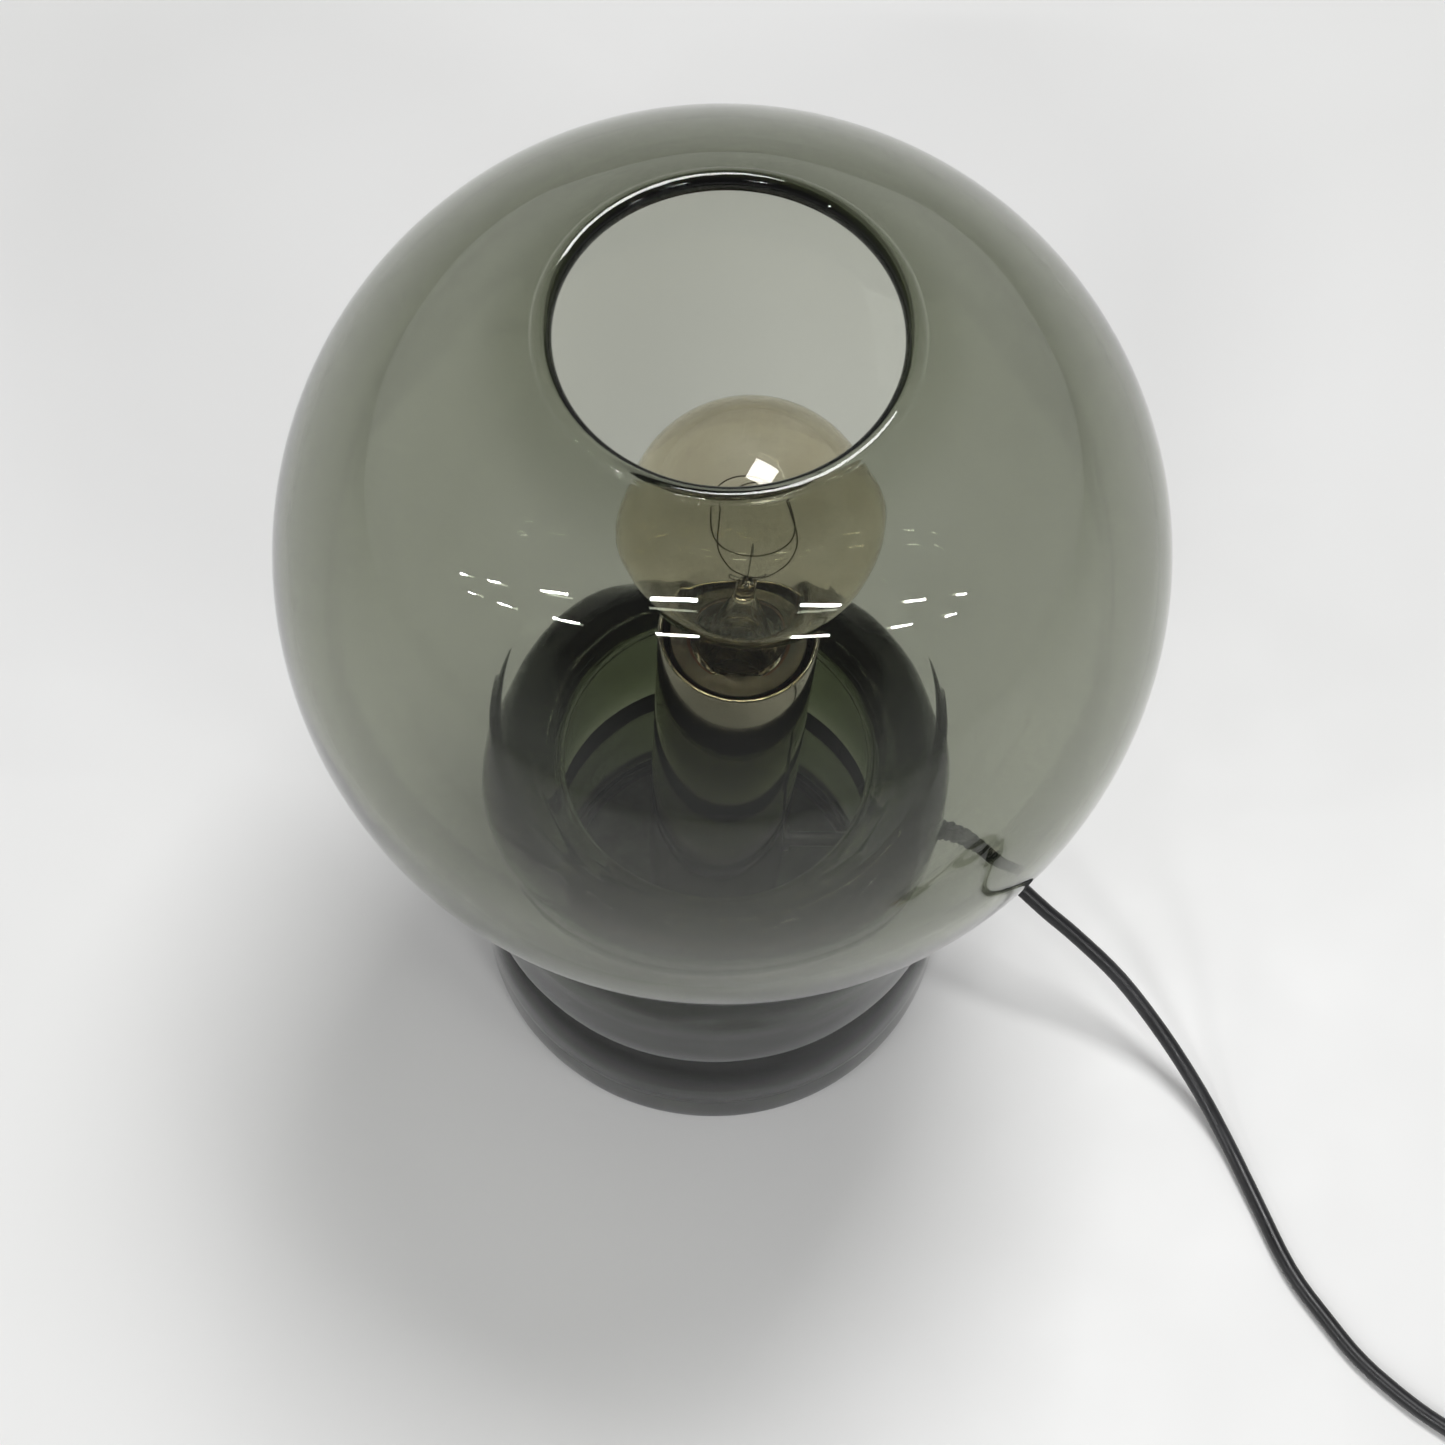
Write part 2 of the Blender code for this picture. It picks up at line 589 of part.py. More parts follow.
def make_cord():
    wire("cord_inner", smooth_route(INNER_ROUTE, CORD_POINT_SPACING / 2), CORD_DIAMETER / 2, CORD_BLACK)
    wire("cord_boot", BOOT_ROUTE, 1.0, RUBBER, resolution=2, radii=BOOT_RADII)
    for name, route in (("cord_to_switch", RUN_TO_SWITCH), ("cord_to_coil", RUN_TO_COIL),
                        ("cord_to_plug", TAIL_TO_PLUG)):
        wire(name, smooth_route(route, CORD_POINT_SPACING), CORD_DIAMETER / 2, CORD_BLACK, resolution=2)


def make_coil():
    half_width = COIL_ACROSS * CORD_DIAMETER / 2
    height = COIL_LAYERS * CORD_DIAMETER
    top = COIL_BOTTOM + height
    outer = COIL_MEAN_RADIUS + half_width
    inner = COIL_MEAN_RADIUS - half_width
    edge = 1.6
    profile = [(outer - edge, top), (outer, top - edge), (outer, COIL_BOTTOM + edge), (outer - edge, COIL_BOTTOM),
               (inner + edge, COIL_BOTTOM), (inner, COIL_BOTTOM + edge), (inner, top - edge), (inner + edge, top)]
    turned("cord_coil", profile, 32, CORD_BLACK, location=(*COIL_CENTRE, 0))
    make_tie(half_width, height)


def rounded_rectangle(half_x, half_y, radius):
    outline = []
    for quarter, (sign_x, sign_y) in enumerate(((1, 1), (-1, 1), (-1, -1), (1, -1))):
        for step in range(4):
            angle = math.pi / 2 * (quarter + step / 3)
            outline.append((sign_x * (half_x - radius) + radius * math.cos(angle),
                            sign_y * (half_y - radius) + radius * math.sin(angle)))
    return outline


def make_tie(half_width, height):
    """A strap round the coil's turns: a flat outline stood on edge, its opening round the turns."""
    angle = math.radians(TIE_ANGLE_DEG)
    inner = rounded_rectangle(half_width + 0.35, height / 2 + 0.3, 1.2)
    outer = rounded_rectangle(half_width + 0.35 + TIE_THICKNESS, height / 2 + 0.3 + TIE_THICKNESS, 2.0)
    x = COIL_CENTRE[0] + COIL_MEAN_RADIUS * math.cos(angle)
    y = COIL_CENTRE[1] + COIL_MEAN_RADIUS * math.sin(angle)
    flat_piece("cord_tie", [outer, inner], TIE_WIDTH, RUBBER,
               location=(x, y, COIL_BOTTOM + height / 2), rotation=(90, 0, TIE_ANGLE_DEG))


# ---- switch and plug --------------------------------------------------------------------------

def make_switch():
    turn = (0, 0, SWITCH_HEADING_DEG)
    lower_height = SWITCH_SPLIT_Z - GAP - SWITCH_BOTTOM_Z
    box("switch_lower_shell", (SWITCH_LENGTH, SWITCH_WIDTH, lower_height), GLOSS_BLACK, bevel=3.0,
        location=(*SWITCH_CENTRE, SWITCH_BOTTOM_Z + lower_height / 2), rotation=turn)
    upper_height = SWITCH_TOP_Z - SWITCH_SPLIT_Z
    middle = SWITCH_SPLIT_Z + upper_height / 2
    upper = box("switch_upper_shell", (SWITCH_LENGTH, SWITCH_WIDTH, upper_height), GLOSS_BLACK, bevel=3.0,
                location=(*SWITCH_CENTRE, middle), rotation=turn)
    window = box_cutter("rocker_window", (WINDOW_LENGTH, WINDOW_WIDTH, 2 * upper_height),
                        (*SWITCH_CENTRE, middle), turn)
    pin_hole = cutter("rocker_pin_hole", ROCKER_PIN_RADIUS + GAP / 2, 18.0, (*SWITCH_CENTRE, ROCKER_PIVOT_Z),
                      (90, 0, SWITCH_HEADING_DEG), sides=12)
    cut(upper, window)
    cut(upper, pin_hole)
    make_rocker(pin_hole)
    turned("rocker_pin", disc_profile(ROCKER_PIN_RADIUS, -ROCKER_PIN_REACH, ROCKER_PIN_REACH), 12, STEEL, closed=False,
           location=(*SWITCH_CENTRE, ROCKER_PIVOT_Z), rotation=(90, 0, SWITCH_HEADING_DEG))
    heading = math.radians(SWITCH_HEADING_DEG)
    for index, side in enumerate((-1, 1)):
        x = SWITCH_CENTRE[0] + side * SWITCH_SCREW_REACH * math.cos(heading)
        y = SWITCH_CENTRE[1] + side * SWITCH_SCREW_REACH * math.sin(heading)
        hole = cutter(f"switch_screw_hole_{index + 1}", 2.6, 2.4, (x, y, SWITCH_TOP_Z), sides=12)
        cut(upper, hole)
        turned(f"switch_screw_{index + 1}", disc_profile(2.2, SWITCH_TOP_Z - 0.9, SWITCH_TOP_Z - 0.1), 12,
               STEEL, closed=False, location=(x, y, 0))


def make_rocker(pin_hole):
    """A see-saw key: hollow above, round below so that it clears the lower shell as it tips."""
    under = [(7.0 * math.cos(a), 7.0 * math.sin(a)) for a in (-math.pi * i / 10 for i in range(1, 10))]
    outline = [(-7.2, 0.0), (-7.2, 3.2), (-3.0, 2.3), (3.0, 2.3), (7.2, 3.2), (7.2, 0.0)]
    key = flat_piece("switch_rocker", [outline + under], WINDOW_WIDTH - 0.8, ROCKER_CREAM,
                     location=(*SWITCH_CENTRE, ROCKER_PIVOT_Z))
    key.rotation_euler = (Matrix.Rotation(math.radians(SWITCH_HEADING_DEG), 3, "Z")
                          @ Matrix.Rotation(math.radians(90), 3, "X")
                          @ Matrix.Rotation(math.radians(ROCKER_REST_DEG), 3, "Z")).to_euler()
    cut(as_mesh(key), pin_hole)


def make_plug():
    box("plug_body", (PLUG_LENGTH, PLUG_WIDTH, PLUG_HEIGHT), GLOSS_BLACK, bevel=4.0,
        location=(*PLUG_CENTRE, PLUG_Z))
    front = PLUG_CENTRE[0] - PLUG_LENGTH / 2
    for side, name in ((-1, "plug_pin_left"), (1, "plug_pin_right")):
        pin = [(0, 0.0), (PIN_RADIUS, 0.0), (PIN_RADIUS, 1.2 - PIN_LENGTH), (0.9, -PIN_LENGTH), (0, -PIN_LENGTH)]
        turned(name, pin, 14, BRASS, closed=False, rotation=(0, 90, 0),
               location=(front - GAP, PLUG_CENTRE[1] + side * PIN_SPACING / 2, PLUG_Z))
    rear = PLUG_CENTRE[0] + PLUG_LENGTH / 2 + GAP
    sleeve = [(rear, PLUG_CENTRE[1], PLUG_Z), (rear + 8, PLUG_CENTRE[1], PLUG_Z), (312.3, -349.5, 6.4)]
    wire("plug_sleeve", sleeve, 1.0, RUBBER, resolution=2, radii=[5.2, 4.4, 3.2])


clear_scene()
PARTS = make_collection("smoked_glass_table_lamp")
CUTTERS = make_collection("cutters")
COLUMN = bpy.data.objects.new("column_axis", None)
PARTS.objects.link(COLUMN)
COLUMN.rotation_euler = (0, math.radians(COLUMN_TILT_DEG), 0)

SMOKED_GLASS = make_material("smoked_glass", (0.42, 0.45, 0.38), 0.02, transmission=1.0)
CLEAR_GLASS = make_material("bulb_glass", (0.86, 0.83, 0.66), 0.03, transmission=1.0)
BLACK_GLASS = make_material("black_cap_glass", (0.01, 0.01, 0.012), 0.15)
CHROME = make_material("chrome", (0.62, 0.59, 0.55), 0.08, 1.0)
STEEL = make_material("steel", (0.55, 0.55, 0.55), 0.35, 1.0)
DULL_STEEL = make_material("dull_steel", (0.42, 0.42, 0.38), 0.45, 1.0)
PAINTED_STEEL = make_material("painted_plate", (0.16, 0.16, 0.14), 0.6)
NICKEL = make_material("nickel", (0.66, 0.62, 0.52), 0.3, 1.0)
BRASS = make_material("brass", (0.72, 0.53, 0.22), 0.3, 1.0)
TIN = make_material("tin_solder", (0.6, 0.6, 0.6), 0.5, 1.0)
CARBON = make_material("filament", (0.05, 0.045, 0.04), 0.6)
BAKELITE = make_material("bakelite", (0.16, 0.055, 0.03), 0.35)
PORCELAIN = make_material("porcelain", (0.85, 0.83, 0.78), 0.25)
RUBBER = make_material("rubber", (0.02, 0.02, 0.02), 0.7)
FELT = make_material("felt", (0.07, 0.09, 0.06), 0.95)
CORD_BLACK = make_material("cord_black", (0.015, 0.015, 0.017), 0.4)
GLOSS_BLACK = make_material("gloss_black", (0.015, 0.015, 0.015), 0.2)
ROCKER_CREAM = make_material("rocker_cream", (0.78, 0.74, 0.62), 0.3)
CORE_COLOURS = {-1: make_material("core_brown", (0.2, 0.08, 0.03), 0.5),
                1: make_material("core_blue", (0.03, 0.1, 0.3), 0.5)}

make_globe()
make_base()
make_foot()
make_tube()
make_holder_mounting()
make_holder_shells()
make_holder_contacts()
make_trim_ring()
make_bulb()
make_cord()
make_coil()
make_switch()
make_plug()
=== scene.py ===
"""The looks of the smoked-glass table lamp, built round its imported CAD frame.

Lengths are in millimetres, and MM turns them into metres. Heights along the column are measured from the floor,
along the column's own axis, which leans a little to +X.
"""
import json
import math

import bmesh
import bpy
from mathutils import Matrix, Vector, noise


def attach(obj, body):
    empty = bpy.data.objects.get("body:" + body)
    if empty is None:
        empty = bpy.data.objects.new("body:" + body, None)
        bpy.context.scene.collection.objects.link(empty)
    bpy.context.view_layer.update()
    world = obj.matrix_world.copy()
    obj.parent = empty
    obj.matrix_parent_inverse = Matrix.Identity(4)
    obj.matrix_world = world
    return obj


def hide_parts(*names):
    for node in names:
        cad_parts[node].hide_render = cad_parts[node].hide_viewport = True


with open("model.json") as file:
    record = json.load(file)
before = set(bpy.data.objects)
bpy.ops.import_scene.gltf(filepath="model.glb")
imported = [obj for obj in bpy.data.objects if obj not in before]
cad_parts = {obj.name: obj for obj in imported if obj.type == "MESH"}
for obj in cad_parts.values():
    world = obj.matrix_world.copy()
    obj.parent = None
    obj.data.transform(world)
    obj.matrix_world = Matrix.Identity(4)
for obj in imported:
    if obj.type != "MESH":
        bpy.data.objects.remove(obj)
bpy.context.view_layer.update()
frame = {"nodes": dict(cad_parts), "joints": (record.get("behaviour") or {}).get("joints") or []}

MM = 0.001
SCENE = bpy.context.scene

# The camera, the floor and the lights, in metres and watts
CAMERA_LENS_MM = 69.33
CAMERA_PITCH_DEG = 64.9
CAMERA_ROLL_DEG = -1.9
CAMERA_FROM_GLOBE = (0.00172, -0.40324, 0.74374)
FLOOR_HALF_SIZE = 4.0
FLOOR_Z = -0.0002
KEY_SIZE = 0.8
KEY_POWER = 34.0
KEY_PLACE = (0.3, 0.6, 2.4)
CEILING_HEIGHT = 2.0
CEILING_TUBE_SIZE = (0.52, 0.04)
CEILING_TUBE_POWER = 9.0
CEILING_COLUMNS = range(-3, 4)
CEILING_SPACING = 0.82
CEILING_SHIFT = -0.25
CEILING_ROWS = (-0.83, -1.07)
LIGHT_BOUNCES = 32

# The glass
GLOBE_RADIUS = 135.0
GLOBE_CENTRE_Z = 287.5
GLOBE_WALL = 4.5
GLOBE_LOWEST_DEG = -54.5
LIP_R = 49.8
LIP_RISE_DEG = 30.0
LIP_BEND = 3.5
LIP_THICKNESS = 6.4  # the wall swells into its lip; the CAD's lip keeps the wall's 4.5
LIP_SWELL_DEG = 6.0
NECK_FOOT_R = 58.8
NECK_FOOT_Z = 139.5
NECK_SLOPE = 0.488
NECK_TOP_Z = 167.0
BORE_RADIUS = 61.0
BORE_CHAMFER = 1.0
BORE_TOP_Z = 142.4
BORE_RINGS = 12
CORD_HOLE_Z = 64.0
CORD_HOLE_RADIUS = 5.0
DRILL_CENTRE_X = 75.0
DRILL_REACH = 30.0

# The column
TUBE_RADIUS = 26.0
TUBE_WALL = 1.5
TUBE_FOOT = 7.6
TUBE_TOP = 240.5
SOCKET_PITCH = 3.6

# The bulb
BULB_RADIUS = 37.7
BULB_CENTRE_S = 310.5
BULB_WALL = 0.8
STEM_TOP_S = 284.0
FILAMENT_LOW_S = 290.0
FILAMENT_RISE = 32.0
FILAMENT_TURNS = 2.5
FILAMENT_STEPS = 240

# The cord
CORD_DIAMETER = 5.7
COIL_CENTRE = (375.7, -309.9)
COIL_MEAN_RADIUS = 32.0
COIL_BOTTOM = 1.4
COIL_ENTRY_DEG = 50.0
COIL_SWEEP_DEG = 5 * 360 + 140.0
COIL_POINTS_PER_TURN = 24
BOOT_STEP = 0.5
RIB_START_X = 91.0
RIB_PITCH = 3.4
RIB_GROOVE_WIDTH = 1.2
RIB_GROOVE_DEPTH = 0.55

TURN_JOINT = next(joint for joint in frame["joints"] if joint["name"] == "bulb_turn")
LEAN = math.atan2(TURN_JOINT["axis"][0], TURN_JOINT["axis"][2])
COLUMN = Matrix.Rotation(LEAN, 4, "Y")


# ---- camera, floor and light --------------------------------------------------------------------

def make_camera():
    """A camera above the front of the lamp, looking down at 65 degrees."""
    data = bpy.data.cameras.new("camera")
    data.sensor_width = 36.0
    data.lens = CAMERA_LENS_MM
    camera = bpy.data.objects.new("camera", data)
    SCENE.collection.objects.link(camera)
    pitch = math.radians(CAMERA_PITCH_DEG)
    roll = math.radians(CAMERA_ROLL_DEG)
    forward = Vector((0.0, math.cos(pitch), -math.sin(pitch)))
    level_right = Vector((1.0, 0.0, 0.0))
    level_up = level_right.cross(forward)
    right = level_right * math.cos(roll) - level_up * math.sin(roll)
    up = level_up * math.cos(roll) + level_right * math.sin(roll)
    turned = Matrix((right, up, -forward)).transposed().to_4x4()
    turned.translation = Vector(CAMERA_FROM_GLOBE) + Vector((0, 0, GLOBE_CENTRE_Z * MM))
    camera.matrix_world = turned
    SCENE.camera = camera


def make_floor(mat):
    """A plain pale floor that runs far past the picture, a hair below the lamp's felt."""
    mesh = bpy.data.meshes.new("floor")
    grid = bmesh.new()
    bmesh.ops.create_grid(grid, x_segments=1, y_segments=1, size=FLOOR_HALF_SIZE)
    grid.to_mesh(mesh)
    grid.free()
    mesh.materials.append(mat)
    floor = bpy.data.objects.new("floor", mesh)
    floor.location.z = FLOOR_Z
    SCENE.collection.objects.link(floor)


def make_lights():
    """A big soft lamp behind and above, two rows of ceiling tubes that run along X, and a dim sky."""
    data = bpy.data.lights.new("key", "AREA")
    data.shape = "SQUARE"
    data.size = KEY_SIZE
    data.energy = KEY_POWER
    key = bpy.data.objects.new("key", data)
    key.location = KEY_PLACE
    to_globe = Vector((0, 0, GLOBE_CENTRE_Z * MM)) - key.location
    key.rotation_euler = to_globe.to_track_quat("-Z", "Y").to_euler()
    SCENE.collection.objects.link(key)
    for column in CEILING_COLUMNS:
        for row in CEILING_ROWS:
            data = bpy.data.lights.new("ceiling_tube", "AREA")
            data.shape = "RECTANGLE"
            data.size, data.size_y = CEILING_TUBE_SIZE
            data.energy = CEILING_TUBE_POWER
            lamp = bpy.data.objects.new("ceiling_tube", data)
            lamp.location = (CEILING_HEIGHT * (CEILING_SHIFT + CEILING_SPACING * column), CEILING_HEIGHT * row,
                             CEILING_HEIGHT + GLOBE_CENTRE_Z * MM)
            SCENE.collection.objects.link(lamp)
    world = bpy.data.worlds.new("soft_sky")
    SCENE.world = world
    world.use_nodes = True
    nodes = world.node_tree.nodes
    links = world.node_tree.links
    place = nodes.new("ShaderNodeTexCoord")
    split = nodes.new("ShaderNodeSeparateXYZ")
    ramp = nodes.new("ShaderNodeValToRGB")
    ramp.color_ramp.elements[0].position = 0.05
    ramp.color_ramp.elements[0].color = (0.50, 0.50, 0.51, 1)
    ramp.color_ramp.elements[1].position = 0.45
    ramp.color_ramp.elements[1].color = (0.13, 0.13, 0.13, 1)
    links.new(place.outputs["Generated"], split.inputs[0])
    links.new(split.outputs["Z"], ramp.inputs["Fac"])
    links.new(ramp.outputs["Color"], nodes["Background"].inputs["Color"])
    nodes["Background"].inputs["Strength"].default_value = 1.0
    SCENE.view_settings.view_transform = "Standard"
    SCENE.cycles.max_bounces = LIGHT_BOUNCES
    SCENE.cycles.transmission_bounces = LIGHT_BOUNCES
    SCENE.cycles.transparent_max_bounces = LIGHT_BOUNCES


# ---- materials ----------------------------------------------------------------------------------

def new_material(name):
    mat = bpy.data.materials.new(name)
    mat.use_nodes = True
    nodes = mat.node_tree.nodes
    return mat, nodes, mat.node_tree.links, nodes["Principled BSDF"]


def add_noise(nodes, links, scale, detail=4.0, stretch=(1, 1, 1)):
    place = nodes.new("ShaderNodeTexCoord")
    mapping = nodes.new("ShaderNodeMapping")
    mapping.inputs["Scale"].default_value = stretch
    texture = nodes.new("ShaderNodeTexNoise")
    texture.inputs["Scale"].default_value = scale
    texture.inputs["Detail"].default_value = detail
    links.new(place.outputs["Object"], mapping.inputs["Vector"])
    links.new(mapping.outputs["Vector"], texture.inputs["Vector"])
    return texture.outputs["Fac"]


def link_range(nodes, links, source, low, high, target):
    spread = nodes.new("ShaderNodeMapRange")
    spread.inputs["From Min"].default_value = 0.3
    spread.inputs["From Max"].default_value = 0.7
    spread.inputs["To Min"].default_value = low
    spread.inputs["To Max"].default_value = high
    links.new(source, spread.inputs["Value"])
    links.new(spread.outputs["Result"], target)


def link_ramp(nodes, links, source, stops, target):
    ramp = nodes.new("ShaderNodeValToRGB")
    ramp.color_ramp.elements[0].position = stops[0][0]
    ramp.color_ramp.elements[0].color = (*stops[0][1], 1)
    ramp.color_ramp.elements[1].position = stops[-1][0]
    ramp.color_ramp.elements[1].color = (*stops[-1][1], 1)
    for position, colour in stops[1:-1]:
        ramp.color_ramp.elements.new(position).color = (*colour, 1)
    links.new(source, ramp.inputs["Fac"])
    links.new(ramp.outputs["Color"], target)


def link_bump(nodes, links, source, height_m, shader, strength=1.0):
    bump = nodes.new("ShaderNodeBump")
    bump.inputs["Distance"].default_value = height_m
    bump.inputs["Strength"].default_value = strength
    links.new(source, bump.inputs["Height"])
    links.new(bump.outputs["Normal"], shader.inputs["Normal"])


def make_surface(name, dark, light, rough, metallic=0.0, grain=300.0, bump=0.0, stretch=(1, 1, 1), sheen=0.0):
    """An opaque finish whose colour and roughness wander between two values, with a fine grain."""
    mat, nodes, links, shader = new_material(name)
    shader.inputs["Metallic"].default_value = metallic
    shader.inputs["Sheen Weight"].default_value = sheen
    patches = add_noise(nodes, links, grain / 6, 3.0, stretch)
    fine = add_noise(nodes, links, grain, 6.0, stretch)
    link_ramp(nodes, links, patches, [(0.3, dark), (0.7, light)], shader.inputs["Base Color"])
    link_range(nodes, links, fine, rough[0], rough[1], shader.inputs["Roughness"])
    if bump:
        link_bump(nodes, links, fine, bump, shader)
    return mat


def make_smoked_glass(name, colour, density, ripple):
    """Clear polished glass that is dark through and through: thick places are darker than thin ones."""
    mat, nodes, links, shader = new_material(name)
    shader.inputs["Base Color"].default_value = (1, 1, 1, 1)
    shader.inputs["Transmission Weight"].default_value = 1.0
    shader.inputs["IOR"].default_value = 1.5
    shader.inputs["Roughness"].default_value = 0.0
    body = nodes.new("ShaderNodeVolumeAbsorption")
    body.inputs["Color"].default_value = (*colour, 1)
    body.inputs["Density"].default_value = density
    links.new(body.outputs["Volume"], nodes["Material Output"].inputs["Volume"])
    link_bump(nodes, links, add_noise(nodes, links, 14.0, 1.5), ripple, shader)
    return mat


def make_bulb_glass():
    """Thin glass, yellowed all over and a little clouded."""
    mat, nodes, links, shader = new_material("old_bulb_glass")
    shader.inputs["Transmission Weight"].default_value = 1.0
    shader.inputs["IOR"].default_value = 1.45
    shader.inputs["Roughness"].default_value = 0.02
    clouds = add_noise(nodes, links, 38.0, 5.0)
    link_ramp(nodes, links, clouds, [(0.3, (0.90, 0.88, 0.83)), (0.7, (0.99, 0.985, 0.97))],
              shader.inputs["Base Color"])
    body = nodes.new("ShaderNodeVolumeAbsorption")
    body.inputs["Color"].default_value = (0.82, 0.75, 0.55, 1)
    body.inputs["Density"].default_value = 480.0
    links.new(body.outputs["Volume"], nodes["Material Output"].inputs["Volume"])
    return mat


# ---- shapes -------------------------------------------------------------------------------------

def add_piece(name, mesh, mat, body, replaced=(), place=None):
    obj = bpy.data.objects.new(name, mesh)
    SCENE.collection.objects.link(obj)
    mesh.materials.clear()
    mesh.materials.append(mat)
    if place is not None:
        obj.matrix_world = place
    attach(obj, body)
    if replaced:
        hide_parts(*replaced)
    return obj


def lathe_mesh(name, profile, steps, closed=True, wobble=None):
    """A profile of (radius, height) turned about Z. wobble(angle, radius, height) may move a point in or out."""
    shape = bmesh.new()
    rings = []
    for r, z in profile:
        if r < 1e-6:
            rings.append([shape.verts.new((0, 0, z * MM))])
            continue
        ring = []
        for step in range(steps):
            angle = 2 * math.pi * step / steps
            radius = r + (wobble(angle, r, z) if wobble else 0.0)
            ring.append(shape.verts.new((radius * MM * math.cos(angle), radius * MM * math.sin(angle), z * MM)))
        rings.append(ring)
    pairs = list(zip(rings, rings[1:]))
    if closed:
        pairs.append((rings[-1], rings[0]))
    for upper, lower in pairs:
        for step in range(steps):
            after = (step + 1) % steps
            corners = [upper[step % len(upper)], lower[step % len(lower)],
                       lower[after % len(lower)], upper[after % len(upper)]]
            corners = list(dict.fromkeys(corners))
            if len(corners) > 2:
                shape.faces.new(corners)
    bmesh.ops.recalc_face_normals(shape, faces=shape.faces)
    mesh = bpy.data.meshes.new(name)
    shape.to_mesh(mesh)
    shape.free()
    mesh.shade_smooth()
    mesh.set_sharp_from_angle(angle=math.radians(42))
    return mesh


def arc(centre_r, centre_z, radius, start_deg, end_deg, count):
    points = []
    for index in range(count):
        angle = math.radians(start_deg + (end_deg - start_deg) * index / (count - 1))
        points.append((centre_r + radius * math.cos(angle), centre_z + radius * math.sin(angle)))
    return points


def smooth_line(points, steps):
    """A Catmull-Rom curve through points, with steps pieces to each stretch."""
    knots = [Vector(point) for point in points]
    line = []
    for index in range(len(knots) - 1):
        before = knots[max(index - 1, 0)]
        start = knots[index]
        end = knots[index + 1]
        after = knots[min(index + 2, len(knots) - 1)]
        for step in range(steps):
            t = step / steps
            line.append(0.5 * (2 * start + (end - before) * t
                               + (2 * before - 5 * start + 4 * end - after) * t * t
                               + (3 * start - before - 3 * end + after) * t ** 3))
    line.append(knots[-1])
    return line


def smooth_profile(points, steps):
    return [(p.x, p.y) for p in smooth_line([(r, z, 0.0) for r, z in points], steps)]


def add_curve(name, points, radius, mat, body, replaced=(), radii=None, resolution=5, place=None):
    """A round wire through points, in millimetres."""
    data = bpy.data.curves.new(name, "CURVE")
    data.dimensions = "3D"
    data.bevel_depth = radius * MM
    data.bevel_resolution = resolution
    data.use_fill_caps = True
    spline = data.splines.new("POLY")
    spline.points.add(len(points) - 1)
    for index, point in enumerate(points):
        spline.points[index].co = (*[value * MM for value in point], 1.0)
        if radii:
            spline.points[index].radius = radii[index]
    return add_piece(name, data, mat, body, replaced, place)


# ---- the glass ----------------------------------------------------------------------------------

def wall_wander(angle, r, z):
    """Blown glass is nowhere quite even: a few slow waves, worked out from the place on the wall."""
    spot = Vector((math.cos(angle) * 1.4, math.sin(angle) * 1.4, z / 60.0))
    return 0.35 * noise.noise(spot)


def lip_bend():
    """Where the wall's middle line leaves the sphere (degrees of elevation), and the middle of its bend."""
    middle = GLOBE_RADIUS - GLOBE_WALL / 2
    start_deg = 66.0
    for _ in range(20):
        start_r = LIP_R + LIP_BEND * (math.cos(math.radians(LIP_RISE_DEG)) - math.cos(math.radians(start_deg)))
        start_deg = math.degrees(math.acos(start_r / middle))
    start = math.radians(start_deg)
    return start_deg, (start_r + LIP_BEND * math.cos(start),
                       GLOBE_CENTRE_Z + (middle + LIP_BEND) * math.sin(start))


def globe_face(side, foot_r):
    """One face of the globe's wall, outer (1) or inner (-1): the lip that turns up, the sphere, and the neck."""
    start_deg, (bend_r, bend_z) = lip_bend()
    thick = side * LIP_THICKNESS / 2
    lip = arc(bend_r, bend_z, thick - LIP_BEND, LIP_RISE_DEG, start_deg, 10)
    middle = GLOBE_RADIUS - GLOBE_WALL / 2
    swelling = side * (LIP_THICKNESS - GLOBE_WALL) / 2
    sphere = []
    for r, z in arc(0, 0, 1.0, start_deg, GLOBE_LOWEST_DEG, 110):
        past_lip = start_deg - math.degrees(math.atan2(z, r))
        radius = middle + side * GLOBE_WALL / 2 + swelling * math.exp(-(past_lip / LIP_SWELL_DEG) ** 2)
        sphere.append((radius * r, GLOBE_CENTRE_Z + radius * z))
    neck = []
    for fraction in (1.0, 0.75, 0.5, 0.25, 0.0):
        z = NECK_FOOT_Z + (NECK_TOP_Z - NECK_FOOT_Z) * fraction
        neck.append((foot_r + (z - NECK_FOOT_Z) * NECK_SLOPE, z))
    return lip[:-1] + sphere[:-1] + smooth_profile([sphere[-1]] + neck, 6)


def make_globe():
    outer = globe_face(1, NECK_FOOT_R)
    inner = globe_face(-1, NECK_FOOT_R - GLOBE_WALL)
    lip_z = (outer[0][1] + inner[0][1]) / 2
    rounding = arc(LIP_R, lip_z, LIP_THICKNESS / 2, LIP_RISE_DEG + 180, LIP_RISE_DEG, 17)[1:-1]
    foot = arc(NECK_FOOT_R - GLOBE_WALL / 2, NECK_FOOT_Z, GLOBE_WALL / 2, -20, -160, 7)

    def inside_only(angle, r, z):
        """Only the wall's inner face wanders, and not near the neck or the lip."""
        on_inner_face = math.hypot(r, z - GLOBE_CENTRE_Z) < GLOBE_RADIUS - 2.0
        return wall_wander(angle, r, z) if on_inner_face and 175 < z < 400 else 0.0

    mesh = lathe_mesh("globe", outer + foot + inner[::-1] + rounding, 160, wobble=inside_only)
    return add_piece("globe_of_smoked_glass", mesh, SMOKED, "globe", ["glass_globe"])


